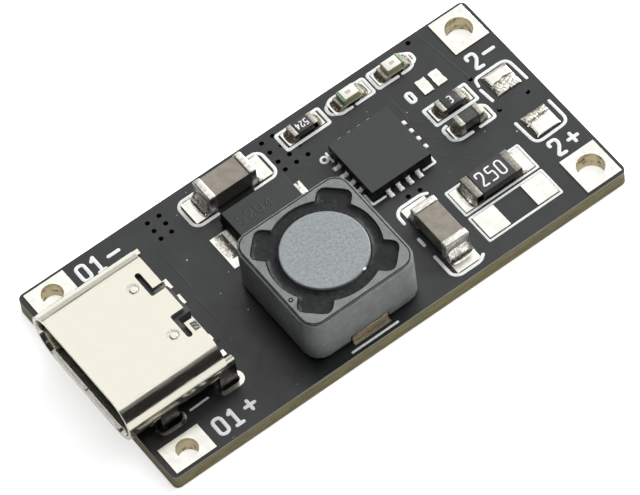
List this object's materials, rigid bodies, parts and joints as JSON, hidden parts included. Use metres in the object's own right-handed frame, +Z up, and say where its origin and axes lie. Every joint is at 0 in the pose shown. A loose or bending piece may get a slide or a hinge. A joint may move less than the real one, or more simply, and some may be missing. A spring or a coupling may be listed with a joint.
{
  "type": "lithium battery charger module",
  "caption": "Small circuit board that charges a lithium battery from a USB-C inlet, with a shielded power inductor, a charging chip, indicator lights and plated wire pads at both ends.",
  "frame": {"origin": "Centre of the flat underside of the board, midway along its length and its width. It is the face that the module rests on or is stuck down by.", "axes": "+X runs along the board to the end with the battery pads, so the USB-C inlet faces -X. +Y points to the long edge with the two minus pads. +Z points up, out of the face that carries the parts."},
  "size_m": [0.0306, 0.0144, 0.0046],
  "materials": {
    "solder_mask": "charcoal solder mask with a satin sheen over faint tracks, on tan glass-fibre laminate",
    "tinned_copper": "bright levelled tin on copper lands, slightly wavy",
    "nickel_shell": "warm bright nickel-plated sheet, faintly scuffed",
    "black_moulding": "black moulded insulator",
    "gilt_contact": "thin gilt over nickel",
    "ferrite": "dry pressed grey ferrite with a fine grain",
    "ferrite_drum": "ground pale grey ferrite, speckled",
    "enamelled_wire": "copper wire under clear enamel",
    "dark_glue": "poured dark glue with a soft gloss",
    "base_plate": "brown laminate base plate",
    "diode_moulding": "dark grey moulding compound, finely eroded",
    "chip_moulding": "matt dark grey moulding compound",
    "ceramic": "fired grey-brown ceramic",
    "tin_cap": "frosted plated tin with small solder pits",
    "resistor_coat": "glossy dark overcoat glass",
    "light_base": "pale cream laminate",
    "light_lens": "clear to milky cast resin"
  },
  "bodies": {
    "root": {"board": "solder_mask", "pad_in_plus": "tinned_copper", "pad_in_minus": "tinned_copper", "pad_battery_plus": "tinned_copper", "pad_battery_minus": "tinned_copper", "spare_land_left": "tinned_copper", "spare_land_right": "tinned_copper", "jumper_land_left": "tinned_copper", "jumper_land_right": "tinned_copper", "tinned_land_plus": "tinned_copper", "tinned_land_minus": "tinned_copper", "usb_shell": "nickel_shell", "usb_housing": "black_moulding", "usb_mid_plate": "nickel_shell", "usb_contact_1": "gilt_contact", "usb_contact_2": "gilt_contact", "usb_contact_3": "gilt_contact", "usb_contact_4": "gilt_contact", "usb_contact_5": "gilt_contact", "usb_contact_6": "gilt_contact", "inductor_shield": "ferrite", "inductor_drum": "ferrite_drum", "inductor_winding": "enamelled_wire", "inductor_glue": "dark_glue", "inductor_base": "base_plate", "inductor_terminal_near": "gilt_contact", "inductor_terminal_far": "gilt_contact", "diode_body": "diode_moulding", "diode_lead_left": "tin_cap", "diode_lead_right": "tin_cap", "charger_chip": "chip_moulding", "chip_heat_pad": "tin_cap", "input_capacitor_ceramic": "ceramic", "input_capacitor_end_a": "tin_cap", "input_capacitor_end_b": "tin_cap", "output_capacitor_ceramic": "ceramic", "output_capacitor_end_a": "tin_cap", "output_capacitor_end_b": "tin_cap", "small_capacitor_ceramic": "ceramic", "small_capacitor_end_a": "tin_cap", "small_capacitor_end_b": "tin_cap", "sense_resistor_chip": "resistor_coat", "sense_resistor_end_a": "tin_cap", "sense_resistor_end_b": "tin_cap", "code_resistor_chip": "resistor_coat", "code_resistor_end_a": "tin_cap", "code_resistor_end_b": "tin_cap", "light_resistor_chip": "resistor_coat", "light_resistor_end_a": "tin_cap", "light_resistor_end_b": "tin_cap", "charge_light_base": "light_base", "charge_light_lens": "light_lens", "charge_light_end_a": "tin_cap", "charge_light_end_b": "tin_cap", "full_light_base": "light_base", "full_light_lens": "light_lens", "full_light_end_a": "tin_cap", "full_light_end_b": "tin_cap"}
  },
  "joints": []
}
